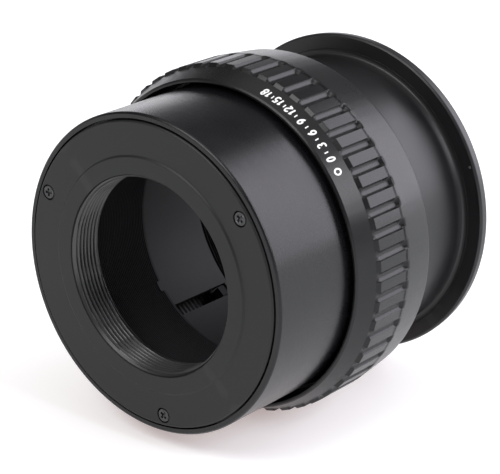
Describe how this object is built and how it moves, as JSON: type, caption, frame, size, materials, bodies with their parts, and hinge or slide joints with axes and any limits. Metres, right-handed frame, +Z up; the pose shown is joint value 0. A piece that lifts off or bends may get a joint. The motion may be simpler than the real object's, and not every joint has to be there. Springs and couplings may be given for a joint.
{
  "type": "lens adapter",
  "caption": "Round extension tube with a grooved focus ring between two telescoping barrels, a screw mount with a raised boss in front and a flanged bayonet mount behind.",
  "frame": {"origin": "on the surface the part lies on, below the middle of its length", "axes": "optical axis along Y with the screw mount facing -Y and the bayonet facing +Y, +Z up"},
  "size_m": [0.0762, 0.074, 0.0763],
  "materials": {
    "plate_black": "black anodised, flat satin",
    "barrel_black": "black anodised, satin",
    "grip_black": "black anodised, satin",
    "guide_black": "dark anodised",
    "screw_black": "blackened steel",
    "screw_steel": "bright steel",
    "bayonet_chrome": "satin chrome",
    "key_steel": "blackened steel",
    "dot_white": "white paint"
  },
  "bodies": {
    "rear_group": {"rear_barrel": "barrel_black", "bayonet_ring": "bayonet_chrome", "index_dot": "dot_white", "rear_key_1": "key_steel", "rear_key_2": "key_steel", "bayonet_screw_1": "screw_steel", "bayonet_screw_2": "screw_steel", "bayonet_screw_3": "screw_steel", "bayonet_screw_4": "screw_steel"},
    "guide_group": {"guide_tube": "guide_black"},
    "ring_group": {"grip_ring": "grip_black", "helicoid_sleeve": "guide_black", "guide_retainer": "guide_black", "sleeve_screw_1": "screw_black", "sleeve_screw_2": "screw_black", "sleeve_screw_3": "screw_black", "sleeve_screw_4": "screw_black"},
    "front_group": {"lens_mount_plate": "plate_black", "front_barrel": "barrel_black", "mount_screw_1": "screw_black", "mount_screw_2": "screw_black", "mount_screw_3": "screw_black", "front_key_1": "key_steel", "front_key_2": "key_steel"}
  },
  "joints": [
    {"name": "ring_travel", "type": "slide", "parent": "rear_group", "child": "guide_group", "axis": [0, 1, 0], "range_m": [0, 0.018]},
    {"name": "focus_turn", "type": "hinge", "parent": "guide_group", "child": "ring_group", "pos_m": [0, 0, 0.03815], "axis": [0, 1, 0], "range_deg": [0, 300]},
    {"name": "front_travel", "type": "slide", "parent": "guide_group", "child": "front_group", "axis": [0, 1, 0], "range_m": [0, 0.018]}
  ],
  "couplings": [
    {"joint": "ring_travel", "follows": "focus_turn", "m_per_rad": 0.0034377},
    {"joint": "front_travel", "follows": "focus_turn", "m_per_rad": 0.0034377}
  ]
}
